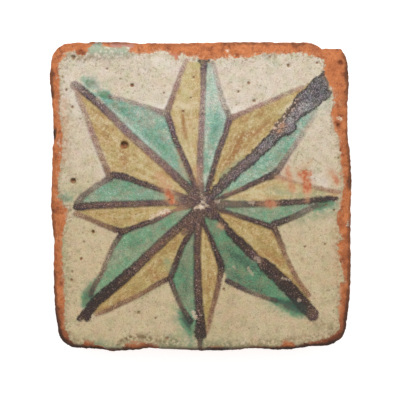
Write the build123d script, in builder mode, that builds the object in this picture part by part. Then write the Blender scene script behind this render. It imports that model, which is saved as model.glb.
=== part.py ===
"""Hand-made majolica tile, fired and glazed as one piece.

The tile lies on its bedding face with the glazed face up. The origin is at the middle of the
bedding face, X runs across the face, Y up it, and Z out of it. All sizes are in millimetres.
"""

import os

from build123d import *

# Overall size of the tile
width = 136.5
length = 140.0
thickness = 18.0

# Sides: the clay was trimmed with a slanted cut, so the back is smaller than the face
undercut = 2.4
back_bevel = 1.0

# Worn margin: bare clay between the edge of the glaze and the arris, which it falls to
margin_drop = 1.1
left_margin = 4.2
right_margin = 4.4
bottom_margin = 1.8
top_margin = 4.6

# Rounding of the corners, as the length that it takes from each of the two sides
bottom_left_round = 11.0
bottom_right_round = 12.2
top_right_round = 12.0
top_left_round = 11.5

# Where the tile is out of square: how far a corner stands in from the overall size
bottom_left_setback = (3.5, 1.2)
bottom_right_setback = (2.2, 2.2)
top_right_setback = (1.6, 0.5)
top_left_setback = (0.0, 0.4)

# Largest distance that each hand-cut side stands out from the line between its corners
bottom_bulge = 1.5
right_bulge = 1.6
top_bulge = 0.3
left_bulge = 1.35

# Course of each side, counter-clockwise from its first corner: (share of its length, share of its bulge)
side_courses = {
    "bottom": ((0.19, 0.9), (0.32, 0.4), (0.49, 0.95), (0.61, 0.9), (0.69, 0.45), (0.79, 1.0), (0.86, 0.1)),
    "right": ((0.18, 0.85), (0.31, 1.0), (0.43, 0.95), (0.60, 1.0), (0.69, 0.2), (0.79, -0.1), (0.88, 0.25)),
    "top": ((0.25, 0.6), (0.45, 0.4), (0.64, -1.0), (0.80, 1.0)),
    "left": ((0.12, 0.3), (0.21, -0.3), (0.31, -0.2), (0.44, 0.5), (0.55, 1.0), (0.65, 0.5), (0.81, 0.8)),
}

# Flake broken from the top edge beside its right corner
flake_length = 11.8
flake_run_out = 4.8
flake_depth = 2.85

# Scoops chipped from the arris: (side, share of it between its rounded corners, length, bite)
arris_chips = (
    ("bottom", 0.065, 11.0, 2.2),
    ("bottom", 0.285, 9.0, 1.1),
    ("bottom", 0.55, 6.0, 0.6),
    ("bottom", 0.85, 7.0, 0.7),
    ("right", 0.33, 6.0, 0.6),
    ("right", 0.72, 8.0, 1.0),
    ("top", 0.73, 6.5, 1.1),
    ("top", 0.96, 5.0, 1.2),
    ("left", 0.28, 7.0, 1.0),
    ("left", 0.66, 9.0, 1.0),
)

# Pits in the glaze: (share of the half width, share of the half length, mouth, depth)
pits = (
    (-0.500, 0.333, 4.2, 1.8),
    (-0.842, 0.099, 3.0, 1.2),
    (-0.847, 0.899, 2.6, 0.8),
    (-0.455, 0.718, 2.2, 0.7),
    (0.588, 0.848, 2.4, 0.8),
    (0.932, 0.867, 2.6, 1.2),
    (-0.714, -0.230, 2.0, 0.8),
    (-0.410, -0.751, 2.0, 0.7),
)

side_names = tuple(side_courses)
side_bulges = (bottom_bulge, right_bulge, top_bulge, left_bulge)
corner_rounds = (bottom_left_round, bottom_right_round, top_right_round, top_left_round)


def section_corners(left_inset, right_inset, bottom_inset, top_inset):
    """The corners of a level section before rounding, counter-clockwise from bottom left."""
    left = left_inset - width / 2
    right = width / 2 - right_inset
    bottom = bottom_inset - length / 2
    top = length / 2 - top_inset
    return (
        Vector(left + bottom_left_setback[0], bottom + bottom_left_setback[1]),
        Vector(right - bottom_right_setback[0], bottom + bottom_right_setback[1]),
        Vector(right - top_right_setback[0], top - top_right_setback[1]),
        Vector(left + top_left_setback[0], top - top_left_setback[1]),
    )


def outward(direction):
    """The way out of the tile from a side that runs counter-clockwise in this direction."""
    return Vector(direction.Y, -direction.X).normalized()


def side_spline(corners, index):
    """One uneven side of a section, between the ends of its two rounded corners."""
    start = corners[index]
    end = corners[(index + 1) % 4]
    along = (end - start).normalized()
    course = [
        start + (end - start) * share + outward(along) * bulge_share * side_bulges[index]
        for share, bulge_share in side_courses[side_names[index]]
    ]
    first = start + along * corner_rounds[index]
    last = end - along * corner_rounds[(index + 1) % 4]
    return Spline(first, *course, last)


def corner_curve(corners, index):
    """The rounded corner where one side ends and the next begins."""
    before = corners[index - 1]
    corner = corners[index]
    after = corners[(index + 1) % 4]
    reach = corner_rounds[index]
    first = corner + (before - corner).normalized() * reach
    last = corner + (after - corner).normalized() * reach
    return Bezier(first, corner, last)


# Level sections of the body: bedding face, top of the back's bevel, arris and edge of the glaze
back_inset = undercut + back_bevel
arris_height = thickness - margin_drop
arris_corners = section_corners(0, 0, 0, 0)
sections = (
    (0, section_corners(back_inset, back_inset, back_inset, back_inset)),
    (back_bevel, section_corners(undercut, undercut, undercut, undercut)),
    (arris_height, arris_corners),
    (thickness, section_corners(left_margin, right_margin, bottom_margin, top_margin)),
)
arris_sides = {name: side_spline(arris_corners, index) for index, name in enumerate(side_names)}

with BuildPart() as tile:
    # Body: straight walls from each section to the next
    for height, corners in sections:
        with BuildSketch(Plane.XY.offset(height)):
            with BuildLine():
                for index in range(4):
                    corner_curve(corners, index)
                    side_spline(corners, index)
            make_face()
    loft(ruled=True)

    # Flake: a break in the top edge that slopes in and runs out past the right corner
    flake_corner = arris_corners[2]
    flake_foot = flake_corner - Vector(flake_length, flake_depth)
    flake_head = flake_foot + Vector(-flake_run_out, flake_depth) * 2
    flake_end = flake_corner.X + flake_length
    with BuildSketch():
        with BuildLine():
            Polyline(
                flake_head,
                flake_foot,
                (flake_end, flake_foot.Y),
                (flake_end, flake_head.Y),
                close=True,
            )
        make_face()
    extrude(amount=thickness, mode=Mode.SUBTRACT)

    # Arris chips: scoops out of a ball that stands out and up from the arris
    for name, share, chip_length, bite in arris_chips:
        ball_radius = (chip_length**2 / 4 + bite**2) / (2 * bite)
        side = arris_sides[name]
        away = (outward(side % share) + Vector(0, 0, 1)).normalized()
        ball = side @ share + away * (ball_radius - bite)
        with Locations((ball.X, ball.Y, arris_height + ball.Z)):
            Sphere(ball_radius, mode=Mode.SUBTRACT)

    # Pits: round-bottomed hollows left by bubbles and lime in the firing
    for across, up, mouth, depth in pits:
        pit_radius = (mouth**2 / 4 + depth**2) / (2 * depth)
        pit_height = thickness - depth + pit_radius
        with Locations((across * width / 2, up * length / 2, pit_height)):
            Sphere(pit_radius, mode=Mode.SUBTRACT)

tile.part.label = "tile"
os.makedirs("parts", exist_ok=True)
export_step(tile.part, "parts/tile.step")
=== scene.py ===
"""Looks of the hand-made majolica tile: worn clay, tin glaze and a brush-painted eight-pointed star.

The tile is one fired piece, so one mesh stands for it. Its relief is modelled first, and the paint then
follows strokes that were placed on the photograph. Lengths are in metres unless a comment says
otherwise.
"""

from collections import namedtuple

import bpy
import numpy as np
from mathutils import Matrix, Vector, kdtree, noise


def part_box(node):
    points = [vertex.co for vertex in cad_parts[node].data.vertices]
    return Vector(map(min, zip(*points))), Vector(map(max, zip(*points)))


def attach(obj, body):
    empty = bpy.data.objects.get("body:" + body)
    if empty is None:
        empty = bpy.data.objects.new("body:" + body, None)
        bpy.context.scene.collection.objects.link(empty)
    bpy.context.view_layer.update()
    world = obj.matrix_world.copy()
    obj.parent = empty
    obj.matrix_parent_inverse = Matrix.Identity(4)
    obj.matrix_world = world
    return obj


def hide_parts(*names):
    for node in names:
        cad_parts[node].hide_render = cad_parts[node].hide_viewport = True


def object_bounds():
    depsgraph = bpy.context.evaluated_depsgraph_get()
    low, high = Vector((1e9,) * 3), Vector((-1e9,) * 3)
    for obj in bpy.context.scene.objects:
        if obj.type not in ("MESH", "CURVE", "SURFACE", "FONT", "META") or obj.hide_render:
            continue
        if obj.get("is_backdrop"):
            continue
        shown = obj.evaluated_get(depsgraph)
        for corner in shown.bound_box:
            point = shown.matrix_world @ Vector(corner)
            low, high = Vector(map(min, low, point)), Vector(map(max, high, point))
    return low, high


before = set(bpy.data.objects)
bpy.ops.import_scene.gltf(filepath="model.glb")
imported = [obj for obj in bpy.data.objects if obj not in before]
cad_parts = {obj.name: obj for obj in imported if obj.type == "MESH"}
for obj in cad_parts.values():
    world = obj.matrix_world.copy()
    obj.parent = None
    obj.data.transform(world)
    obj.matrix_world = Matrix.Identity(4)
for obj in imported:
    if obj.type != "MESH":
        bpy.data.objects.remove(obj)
cad_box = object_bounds()
face_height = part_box("tile")[1].z

MM = 0.001

# The photograph: how wide it is, how much of the face a pixel covers, where the tile's middle lies in it,
# how far below the points read from it the paint really lies, and where the rays meet
PHOTO_PIXELS = 400
PIXEL = 0.4521 * MM
MIDDLE_PIXEL = (200.8, 196.3)
READING_SLIP = 0.8
STAR_MIDDLE = (204, 203)

# Skin of the modelled tile
SKIN_SPACING = 0.52 * MM
MERGE_DISTANCE = 0.001 * MM
BACK_ENDS = 0.3 * MM
SIDES_START = 0.6 * MM
CLOSE_SKIN_DEPTH = 3 * MM
BACK_DETAIL = 0.07
SIDE_DETAIL = 0.55

# Relief of the modelled tile
GLAZE_THICKNESS = 0.45 * MM
BRUSH_HEIGHT = 0.28 * MM
CRUST_HEIGHT = 0.8 * MM
CRUST_STARTS = 28 * MM
CRUST_IS_FULL = 62 * MM
CLAY_ROUGHNESS = 0.85 * MM
FACE_WAVES = 0.35 * MM
SIDE_FILL = 0.25 * MM
DEEPEST_PIT = 1.2 * MM
FAINTEST_WEIGHT = 0.002

# Unevenness of the painted edges: the size of its lumps and grains, and where the noise of each starts
LUMP_SIZE, LUMP_START = 5 * MM, 1.7
GRAIN_SIZE, GRAIN_START = 1.4 * MM, 5.3

# How far below the face, in millimetres, the glaze ends, and how far below that the stains of the margin
# begin to fade, are gone, and the grime and painted shade of the rim thin out
GLAZE_ENDS = 1.8
STAINS_FADE, STAINS_END = 1.6, 3.6
GRIME_AND_SHADE_THINS = 1.2

# What counts as the rim: how steep the skin is there, and how far below the face it is looked for
RIM_STEEPNESS = 0.3
RIM_DEPTH = 4 * MM

# How far from a stroke its reach is worked out, what stands for farther, how softly inks run together, how
# fast a soft spot fades, and the largest number that the mesh holds
NEARBY = 8 * MM
FAR = 30 * MM
INK_BLEND = 0.35 * MM
SPOT_FADE = 0.8
FIELD_LIMIT = 20
TINY = 1e-18

Ray = namedtuple("Ray", "spine yellow_edge green_edge yellow_depth green_depth")

# The star's rays, clockwise from the top one. A ray has a thick line along its middle, the spine, and two
# thin edges that run from a valley out to its tip: one closes its yellow half and the other its green half.
# A stroke is a row of (x, y, width, ink): place and width in the photograph's pixels, and how dense the
# colour is there.
RAYS = (
    Ray(
        spine=(
            (203, 198, 8, 0.85), (200.5, 182, 7, 0.55), (200, 170, 7, 0.54), (200.5, 150, 7.2, 0.58),
            (201.5, 130, 6.6, 0.56), (202.4, 110, 6, 0.5), (202.9, 92, 6, 0.56), (203.5, 76, 6.5, 0.68),
            (204, 62, 7.5, 0.86),
        ),
        yellow_edge=(
            (167, 112, 7, 0.6), (170.5, 102, 6.3, 0.6), (173, 95, 6, 0.56), (177.3, 83, 6, 0.5),
            (181.5, 71, 5.5, 0.42), (186, 60, 5, 0.34),
        ),
        green_edge=(
            (229, 115, 7, 0.54), (224, 104, 6.2, 0.42), (219.5, 88.6, 5.5, 0.34), (216, 73.4, 5, 0.32),
            (212.8, 62, 4.5, 0.4),
        ),
        yellow_depth=0.2,
        green_depth=0.1,
    ),
    Ray(
        spine=(
            (206, 200, 9, 0.94), (216, 190.5, 10, 0.94), (226, 180, 11, 0.88), (237, 170, 11.5, 0.86),
            (249, 160.5, 11, 0.86), (259.5, 150.5, 12, 0.86), (267.6, 142.6, 13, 0.88),
            (275.5, 135, 12, 0.86), (284, 127, 12, 0.84), (291, 118, 13.5, 0.86), (299, 109, 16, 0.9),
            (305.5, 101.5, 22, 0.98), (313.5, 95, 22, 1.0), (318.7, 86.7, 21, 1.0), (322, 79, 10, 1.0),
            (323.5, 71.5, 3, 1.0),
        ),
        yellow_edge=(
            (231, 117, 7, 0.56), (244, 111.5, 5, 0.5), (259.4, 104.6, 4.8, 0.42), (272.4, 99, 4.8, 0.44),
            (287.6, 92.4, 4.6, 0.4), (303, 86, 4.4, 0.36),
        ),
        green_edge=(
            (275.7, 172, 8, 0.84), (280.5, 165.6, 6.5, 0.64), (288.4, 153.6, 6, 0.5),
            (296, 142.8, 5.6, 0.44), (303.5, 132, 5.5, 0.26), (310.4, 120, 6.5, 0.16),
            (315, 112.5, 7.5, 0.08),
        ),
        yellow_depth=0.5,
        green_depth=0.36,
    ),
    Ray(
        spine=(
            (206, 203, 8, 0.86), (222, 202.8, 7.4, 0.76), (236, 203.3, 7.2, 0.76), (250, 203.3, 6.5, 0.8),
            (264, 202.8, 6.5, 0.88), (281, 202, 6.6, 0.92), (298, 201, 6.4, 0.94), (315, 199.3, 6.4, 1.02),
            (328, 198, 6, 1.06), (337, 197.6, 4, 0.85),
        ),
        yellow_edge=(
            (276, 175, 5.5, 0.55), (288, 179, 4, 0.38), (300, 182.6, 3.5, 0.35), (312.6, 185.8, 4.5, 0.42),
            (325.6, 189, 4.5, 0.46), (339.7, 191.2, 4, 0.44),
        ),
        green_edge=(
            (273.5, 223.5, 7.5, 0.92), (280, 221.2, 7.4, 0.92), (288, 218.4, 6.6, 0.84),
            (296, 214.8, 6.2, 0.74), (305, 210.2, 6, 0.6), (315.8, 204.6, 5.5, 0.52),
        ),
        yellow_depth=0.2,
        green_depth=0.58,
    ),
    Ray(
        spine=(
            (206, 206, 9, 0.9), (214, 213, 7, 0.9), (220.2, 219, 6, 0.94), (225.2, 224.2, 6, 0.98),
            (229, 230, 8.2, 1.06), (233.8, 235.4, 8.2, 1.06), (239.4, 240.8, 9.8, 1.04),
            (245.6, 247, 9.8, 1.04), (252, 253.5, 10, 0.92), (258.4, 258.4, 8, 0.72),
            (264.6, 264.4, 12.5, 1.04), (275.1, 273.9, 13, 1.02), (284.6, 282.9, 14, 1.08),
            (293.6, 292.4, 14, 1.12), (301.6, 301.4, 13.5, 1.08), (309, 309.5, 13, 0.94),
            (312.6, 313.6, 13, 0.82),
        ),
        yellow_edge=(
            (274, 227, 6.5, 0.84), (277.6, 234, 6.2, 0.74), (281.5, 244, 5.8, 0.6), (285.5, 255, 5.2, 0.52),
            (290, 264.5, 4.8, 0.54), (295.6, 275.7, 4.8, 0.54), (302.2, 285.4, 4.8, 0.56),
            (308.5, 294, 5, 0.5),
        ),
        green_edge=(
            (227.5, 280, 5.5, 0.84), (234, 283.5, 5.5, 0.84), (246, 289.6, 4.8, 0.68), (257, 294, 4.4, 0.6),
            (268, 297.5, 4.4, 0.66), (276, 300, 4.6, 0.72),
        ),
        yellow_depth=0.65,
        green_depth=0.95,
    ),
    Ray(
        spine=(
            (203, 206, 9, 0.88), (198.5, 222, 8, 0.84), (197.3, 244, 7.6, 0.8), (197.3, 266, 7.8, 0.84),
            (197.8, 288, 8.8, 0.86), (199.2, 308, 9, 0.92), (200.3, 322, 10.5, 1.04), (200.5, 333, 13, 1.12),
        ),
        yellow_edge=(
            (221.5, 267, 8, 0.98), (220, 274.5, 6, 0.82), (218.7, 282.2, 5.8, 0.68),
            (215.5, 296.3, 5.5, 0.62), (211.7, 310.4, 5.2, 0.58), (209, 322, 4.8, 0.5), (207, 331, 4, 0.38),
        ),
        green_edge=(
            (170.3, 278, 6, 0.84), (174.5, 290, 5.2, 0.76), (179, 300.6, 5, 0.72), (184.3, 310.5, 5.5, 0.78),
            (190.5, 320, 6.5, 0.92),
        ),
        yellow_depth=0.56,
        green_depth=0.8,
    ),
    Ray(
        spine=(
            (200, 206, 9, 0.88), (186.2, 219.8, 9.5, 0.86), (168.8, 235, 9.6, 0.78),
            (155.2, 247.4, 9.6, 0.75), (142, 260.4, 10, 0.84), (127.3, 274, 10.8, 0.98),
            (114.3, 284.9, 11.2, 1.1), (103.2, 294.3, 11.8, 1.25), (94, 303, 11.5, 1.25),
            (88.5, 310.5, 9.5, 1.16),
        ),
        yellow_edge=(
            (170, 277.3, 6.5, 0.92), (161.5, 281, 5.5, 0.76), (148.5, 289, 5.2, 0.62),
            (133.3, 297.2, 5.2, 0.54), (118, 304.3, 5.2, 0.58), (105, 310.6, 4.8, 0.6),
            (96.4, 313.8, 4.4, 0.36),
        ),
        green_edge=(
            (122, 232.5, 6, 0.88), (116, 241, 5.4, 0.68), (110.5, 251.8, 5.4, 0.55),
            (105.2, 263.8, 5.2, 0.52), (100, 275.7, 5, 0.58), (94.6, 285.4, 5, 0.66), (91, 294, 5, 0.7),
        ),
        yellow_depth=0.65,
        green_depth=0.54,
    ),
    Ray(
        spine=(
            (198, 203, 8, 0.86), (180, 202.4, 7, 0.62), (165, 202, 6.8, 0.76), (137.5, 203, 7.4, 0.76),
            (116, 203.7, 7.8, 0.78), (94, 204.6, 8, 0.84), (77, 205.8, 8.2, 0.94),
        ),
        yellow_edge=(
            (121, 230.5, 7, 0.92), (111.6, 227.4, 5.8, 0.72), (100.7, 223, 5.5, 0.62),
            (86.6, 217, 5.5, 0.58), (76, 213, 5.5, 0.52),
        ),
        green_edge=(
            (110, 177, 7.5, 0.82), (103.5, 181, 6.4, 0.57), (97, 184.7, 6.2, 0.53), (89, 190.7, 6.2, 0.56),
            (82, 196.2, 6.6, 0.62), (77, 202, 6, 0.6),
        ),
        yellow_depth=0.5,
        green_depth=0.47,
    ),
    Ray(
        spine=(
            (200, 198, 9, 0.88), (185.6, 184.4, 8.5, 0.8), (169.4, 169.3, 8.2, 0.67), (156.4, 157.4, 8, 0.6),
            (140.4, 143.4, 8, 0.58), (126.4, 130.4, 8, 0.6), (113.4, 117.2, 8, 0.66), (101.2, 105, 8, 0.8),
            (90.3, 95.8, 8, 0.86), (82.4, 89.6, 8.2, 0.8), (78, 86.3, 8.8, 0.58), (75, 84.8, 9.5, 0.54),
        ),
        yellow_edge=(
            (109.4, 175.5, 7.5, 0.66), (105, 164.5, 6.5, 0.52), (99.7, 151.5, 6.3, 0.48),
            (93, 134, 6.3, 0.44), (86.6, 116.8, 6, 0.4), (81.2, 103.8, 5.5, 0.38), (77, 92, 5, 0.32),
        ),
        green_edge=(
            (165.8, 113, 7, 0.56), (158, 110, 5.5, 0.5), (148.5, 106.5, 5, 0.4), (135.4, 102.3, 4.6, 0.38),
            (122.4, 98.6, 4.4, 0.38), (109.4, 95.6, 4.6, 0.44),
        ),
        yellow_depth=0.4,
        green_depth=0.43,
    ),
)

# Lines from the star's middle out to the valley after each ray, clockwise
VALLEY_LINES = (
    (
        (206, 196, 6, 0.9), (209.5, 182, 6, 0.86), (213, 170, 6, 0.82), (217, 156, 6, 0.8),
        (220.5, 145, 6, 0.78), (225, 134, 6, 0.8), (227.5, 125, 6.5, 0.78), (229.5, 117, 7.5, 0.74),
    ),
    (
        (210, 201, 5, 0.86), (231, 193, 4.8, 0.76), (242, 188.3, 5.2, 0.8), (255, 182, 5.5, 0.84),
        (266, 177, 7, 0.93), (273, 174.5, 8.5, 0.96),
    ),
    (
        (212, 206, 5, 0.86), (226, 211, 5, 0.86), (237, 214.5, 5, 0.86), (248.5, 218.3, 5.2, 0.87),
        (260.5, 222, 5.5, 0.87), (271, 226, 6.5, 0.92),
    ),
    (
        (204, 208, 6, 0.88), (203, 221.5, 5.5, 0.9), (209, 233.5, 5.5, 0.88), (214.5, 246.5, 5.8, 0.9),
        (218.7, 257, 7, 0.96), (221.5, 265, 8, 1.0),
    ),
    (
        (198, 212, 7, 0.9), (190.8, 231, 6, 0.93), (186.4, 238, 5.8, 0.93), (180, 250.7, 5.8, 0.93),
        (175.5, 264, 6, 0.95), (171, 275.5, 6.5, 0.95),
    ),
    (
        (196, 204, 6, 0.88), (176, 209, 4, 0.6), (165, 214.3, 4.5, 0.62), (154, 219.8, 5.5, 0.8),
        (144, 223, 5.8, 0.88), (132, 227.5, 6, 0.9), (122, 231, 8, 0.98),
    ),
    (
        (196, 200, 6, 0.88), (178, 193.5, 5, 0.7), (168, 190.5, 5, 0.62), (160.4, 188.8, 5.5, 0.86),
        (146.3, 184, 6, 0.9), (133, 179.2, 6.5, 0.93), (122, 175.5, 7.5, 0.96), (112, 174.5, 7.5, 0.93),
    ),
    (
        (199, 195, 7, 0.9), (192, 177.5, 6.5, 0.86), (186.4, 163.4, 6, 0.82), (180, 149.3, 5.8, 0.84),
        (174.5, 136.3, 6, 0.84), (170.2, 122.2, 6.5, 0.8), (166.8, 113.5, 8, 0.72),
    ),
)

# The dark middle of the star, and the blots, forks and lumps at the ends of its spines
MIDDLE_BLOTS = (
    ((195, 196, 16, 0.84), (203, 203, 24, 0.88), (211, 206, 16, 0.88)),
    ((188, 186, 8, 0.84), (197, 197, 14, 0.86)),
    ((196, 218, 10, 0.9), (202, 208, 18, 0.9)),
    ((214, 214, 10, 0.9), (208, 208, 18, 0.9)),
    ((212, 204, 14, 0.9), (222, 205, 9, 0.82)),
    ((184, 232, 6, 0.66), (193, 221, 12, 0.84)),
    ((188, 201, 11, 0.84), (179, 199.5, 8, 0.66)),
)
TIP_BLOTS = (
    ((200.5, 60, 5.5, 1.2), (207, 59.5, 5.5, 1.2)),
    ((80, 317.5, 6.5, 0.97), (86, 311, 8, 1.0)),
    ((87, 318, 6.5, 1.0), (90, 310, 8, 1.0)),
    ((200, 338, 6, 0.9), (200, 348, 4, 0.75)),
)
CRUST_LUMPS = (
    ((318, 92, 16, 1.0), (326.5, 93, 11, 1.0)),
    ((287, 131, 9, 0.88), (291, 126.5, 11, 0.86)),
)

# Pale beads along the crusty line
BEADS = (
    ((271, 132.5, 4.5, 0.6), (277, 124.8, 6, 1.0), (282.8, 118, 6.5, 1.0), (287.5, 112, 6.5, 1.0)),
    ((287.5, 112, 6.5, 1.0), (293, 105.5, 7, 1.0), (298, 98, 5, 0.7)),
)

# Green that ran past the lines of the star, and thinner washes of it; the ink tells how deep the green is
GREEN_BLEEDS = (
    ((84, 80, 11, 0.6), (90, 82.5, 14, 0.8), (97, 87, 12, 0.65)),
    ((97, 89, 10, 0.65), (103, 93.5, 12, 0.95), (110, 97, 9, 0.9)),
    ((60, 196.5, 10, 0.7), (64, 197.5, 11, 0.8), (70, 199, 8, 0.6)),
    ((85, 303, 9, 1.1), (88, 294, 12, 1.3), (92, 286, 9, 1.1), (97, 276, 5, 0.6)),
    (
        (180, 310, 8, 0.8), (185.5, 319, 12, 1.5), (189.5, 327, 11, 1.3), (191, 337, 11, 0.6),
        (191, 344, 9, 0.6),
    ),
    ((272, 298, 8, 1.1), (283, 302, 13, 1.5), (293, 306, 15, 1.7), (301, 309.5, 14, 1.5)),
    ((310, 208, 7, 0.7), (322, 204.5, 9, 1.4), (331, 203.5, 9, 0.85), (338, 202.5, 7, 0.5)),
    ((95, 43.5, 5, 0.6), (99, 43, 6, 0.7)),
    ((321, 91, 9, 0.75), (327, 92, 8, 0.75)),
)
GREEN_WASHES = (
    ((189, 338, 14, 0.7), (193, 347, 16, 0.9)),
    ((162, 345, 11, 0.9), (174, 342, 14, 1.2)),
    ((94, 343, 12, 0.8), (120, 347, 11, 0.95)),
    ((202, 346, 12, 0.95), (242, 345, 11, 0.9)),
    ((262, 344, 10, 0.6), (276, 344, 10, 0.5)),
    ((88, 49, 10, 1.0), (106, 50, 11, 1.2), (128, 50, 10, 1.0)),
    ((222, 176, 6, 0.8), (232, 166, 6, 0.8), (243, 157, 4, 0.5)),
    ((167, 260, 7, 0.9), (171, 270, 7, 0.7)),
    ((296, 219, 10, 0.7), (314, 213, 13, 1.0), (334, 208, 10, 0.7)),
    ((242, 203, 10, 0.8), (222, 203, 10, 0.8)),
    ((70, 194, 11, 0.75), (84, 189, 10, 0.6)),
    ((175, 306, 9, 0.6), (180, 326, 12, 0.7), (184, 340, 12, 0.7)),
    ((264, 302, 7, 0.4), (280, 312, 9, 0.5)),
    ((304, 122, 8, 0.4), (318, 107, 9, 0.5)),
    ((95, 82, 10, 0.6), (104, 86, 9, 0.5)),
    ((265, 55, 8, 0.5), (275, 64, 8, 0.4)),
    ((322, 112, 9, 0.6), (330, 98, 8, 0.5)),
    ((62, 240, 8, 0.4), (66, 300, 9, 0.45)),
    ((270, 190, 9, 0.6), (300, 194, 8, 0.75), (322, 193, 7, 0.7)),
)

# Veils of whiter glaze
WHITE_VEILS = (
    ((220, 94, 8, 0.6), (225, 105, 9, 0.95), (230, 112, 9, 0.95), (240, 107, 7, 0.7)),
    ((213, 70, 8, 0.5), (217, 86, 9, 0.6)),
    ((150, 103, 7, 0.5), (160, 107, 7, 0.8), (166, 105, 6, 0.8), (170, 94, 6, 0.5)),
    ((152, 60, 10, 0.4), (172, 66, 10, 0.45)),
    ((280, 112, 4, 0.7), (290, 103.5, 4, 0.9), (300, 95.5, 3.5, 0.7)),
    ((177, 104, 7, 0.6), (188, 106, 8, 0.7)),
    ((206, 92, 6, 0.6), (209, 104, 6, 0.5)),
    ((98, 98.5, 3, 0.8), (102, 101.5, 3, 0.7)),
    ((294, 111, 7, 0.6), (302, 107, 9, 0.95), (310, 103, 7, 0.5)),
    ((309, 114, 6, 0.4), (316, 108, 8, 0.75), (321, 103, 7, 0.4)),
    ((284, 128, 6, 0.35), (290, 120, 8, 0.5)),
    ((316, 176, 13, 0.4), (325, 184, 12, 0.45)),
    ((100, 150, 9, 0.35), (106, 172, 9, 0.5)),
    ((72, 92, 8, 0.4), (80, 110, 8, 0.4)),
    (
        (110, 106, 3, 0.3), (118, 113.5, 3.5, 0.55), (131, 126.5, 3.5, 0.55),
        (145, 139.5, 3.5, 0.45), (160, 153.5, 3, 0.3),
    ),
)

# Darker pools in the green halves, brown stains in the yellow ones, and grey soot
GREEN_POOLS = (
    ((214, 112, 10, 0.5), (215, 124, 10, 1.0), (212, 146, 8, 0.7)),
    ((211, 66, 6, 0.3), (215, 80, 7, 0.4)),
    ((206, 150, 8, 0.5), (205, 170, 8, 0.6)),
    ((108, 101, 10, 0.5), (116, 106, 12, 0.6), (126, 111, 11, 0.5)),
    ((156, 140, 10, 0.4), (163, 148, 9, 0.4)),
    ((112, 184, 8, 0.5), (134, 188, 9, 0.4)),
    ((132, 242, 12, 0.6), (140, 240, 8, 0.6)),
    ((152, 234, 10, 0.4), (170, 222, 9, 0.5)),
    ((183, 268, 10, 0.5), (186, 290, 9, 0.4)),
    ((226, 248, 7, 0.5), (240, 258, 9, 0.8), (258, 272, 8, 0.6)),
    ((236, 276, 9, 0.5), (262, 291, 8, 0.4), (284, 300, 10, 0.7)),
    ((278, 156, 9, 0.3), (290, 140, 9, 0.4)),
)
BROWN_STAINS = (
    ((182.5, 110, 2.5, 0.8), (183.5, 122, 3.5, 0.9), (185.5, 137, 4.5, 0.6)),
    ((228, 164, 8, 0.8), (240, 142, 11, 1.1), (252, 130, 9, 0.9)),
    ((222, 176, 5, 0.6), (234, 152, 8, 0.9)),
    ((254, 134, 7, 0.7), (268, 122, 7, 0.6)),
    ((246, 118, 6, 0.5), (262, 112, 6, 0.5)),
    ((123, 152, 6, 0.9), (125, 168, 7, 0.7)),
    ((98, 118, 7, 0.5), (108, 136, 8, 0.6)),
    ((92, 108, 4, 0.6), (98, 116, 5, 0.6)),
    ((152, 270, 6, 0.8), (157, 276, 6, 0.7)),
    ((160, 258, 6, 0.7), (164, 252, 5, 0.6)),
    ((274, 231, 6, 0.7), (283, 248, 6, 0.8)),
    ((264, 250, 8, 0.6), (280, 264, 7, 0.5)),
    ((211, 270, 6, 0.6), (209, 288, 6, 0.6)),
    ((122, 299, 5, 0.7), (104, 309, 4, 0.7)),
    ((319, 284, 6, 0.5), (322, 281, 6, 0.6)),
    ((315, 329, 8, 0.3), (320, 328, 7, 0.3)),
    ((270, 103, 5, 0.5), (274, 98, 4, 0.5)),
    ((66, 107, 7, 0.35), (73, 106, 6, 0.5)),
    ((193, 190, 8, 0.5), (199, 178, 7, 0.5)),
)
SOOT = (
    ((312, 318, 14, 0.3), (329, 327, 12, 0.45)),
    ((118, 343, 5, 0.8), (126, 338, 5, 0.9), (136, 335.5, 5, 0.9), (148, 337, 6, 0.8), (154, 341, 6, 0.6)),
    ((154, 341, 9, 0.65), (176, 342, 9, 0.5)),
    ((205, 345, 9, 0.45), (250, 344, 9, 0.5), (286, 340, 9, 0.4), (310, 336, 10, 0.35)),
    ((64, 322, 5, 0.5), (68, 334, 6, 0.6), (78, 342, 6, 0.5)),
    ((69, 57, 7, 0.4), (66, 66, 7, 0.4)),
    ((72, 54, 10, 0.55), (84, 57, 9, 0.5), (100, 57, 9, 0.45), (126, 56, 8, 0.35)),
    ((90, 60, 16, 0.1), (140, 66, 16, 0.1)),
    ((66, 92, 10, 0.16), (68, 120, 10, 0.2), (68, 170, 10, 0.16)),
    ((68, 225, 9, 0.14), (70, 300, 9, 0.14)),
    ((66, 206, 4, 0.8), (71, 210, 3, 0.6)),
    ((160, 110, 4, 0.5), (165, 114, 6, 0.7)),
    ((268, 55, 5, 0.5), (274, 56, 5, 0.5)),
)

# Clay that shows where the glaze flaked off inside the face, peach stains, and chips down to the white of
# the glaze, with one painted highlight on the lower right spine among them
CLAY_FLAKES = (
    ((167, 191.5, 4, 0.7), (170, 196, 7.5, 1.0), (173, 200.5, 7, 1.0)),
    ((300, 174, 7, 0.75), (304.5, 173.5, 8.5, 1.0), (308.5, 173, 7, 0.8)),
    ((305, 176, 9, 1.0), (306.5, 182, 9.5, 1.0), (307.5, 188, 9.5, 0.95)),
    ((288, 167, 4.5, 0.5), (288.5, 173, 6, 0.65), (289.5, 178, 5, 0.6)),
    ((290.5, 182, 6.5, 0.5), (292.5, 188, 7.5, 0.55)),
    ((332.5, 172.5, 5, 0.6), (335, 176.5, 7, 0.75), (337, 181, 6, 0.7)),
    ((341, 173, 4, 0.6), (344, 169, 5, 0.8)),
    ((267, 202.5, 7, 0.6), (271.5, 203.5, 8, 0.7)),
    ((164, 213, 4, 0.5), (168, 211, 4, 0.5)),
    ((284, 342, 5, 0.9), (291, 345, 7, 1.0)),
    ((211, 347.5, 3, 0.9), (221, 347.5, 3, 0.9)),
)
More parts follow.
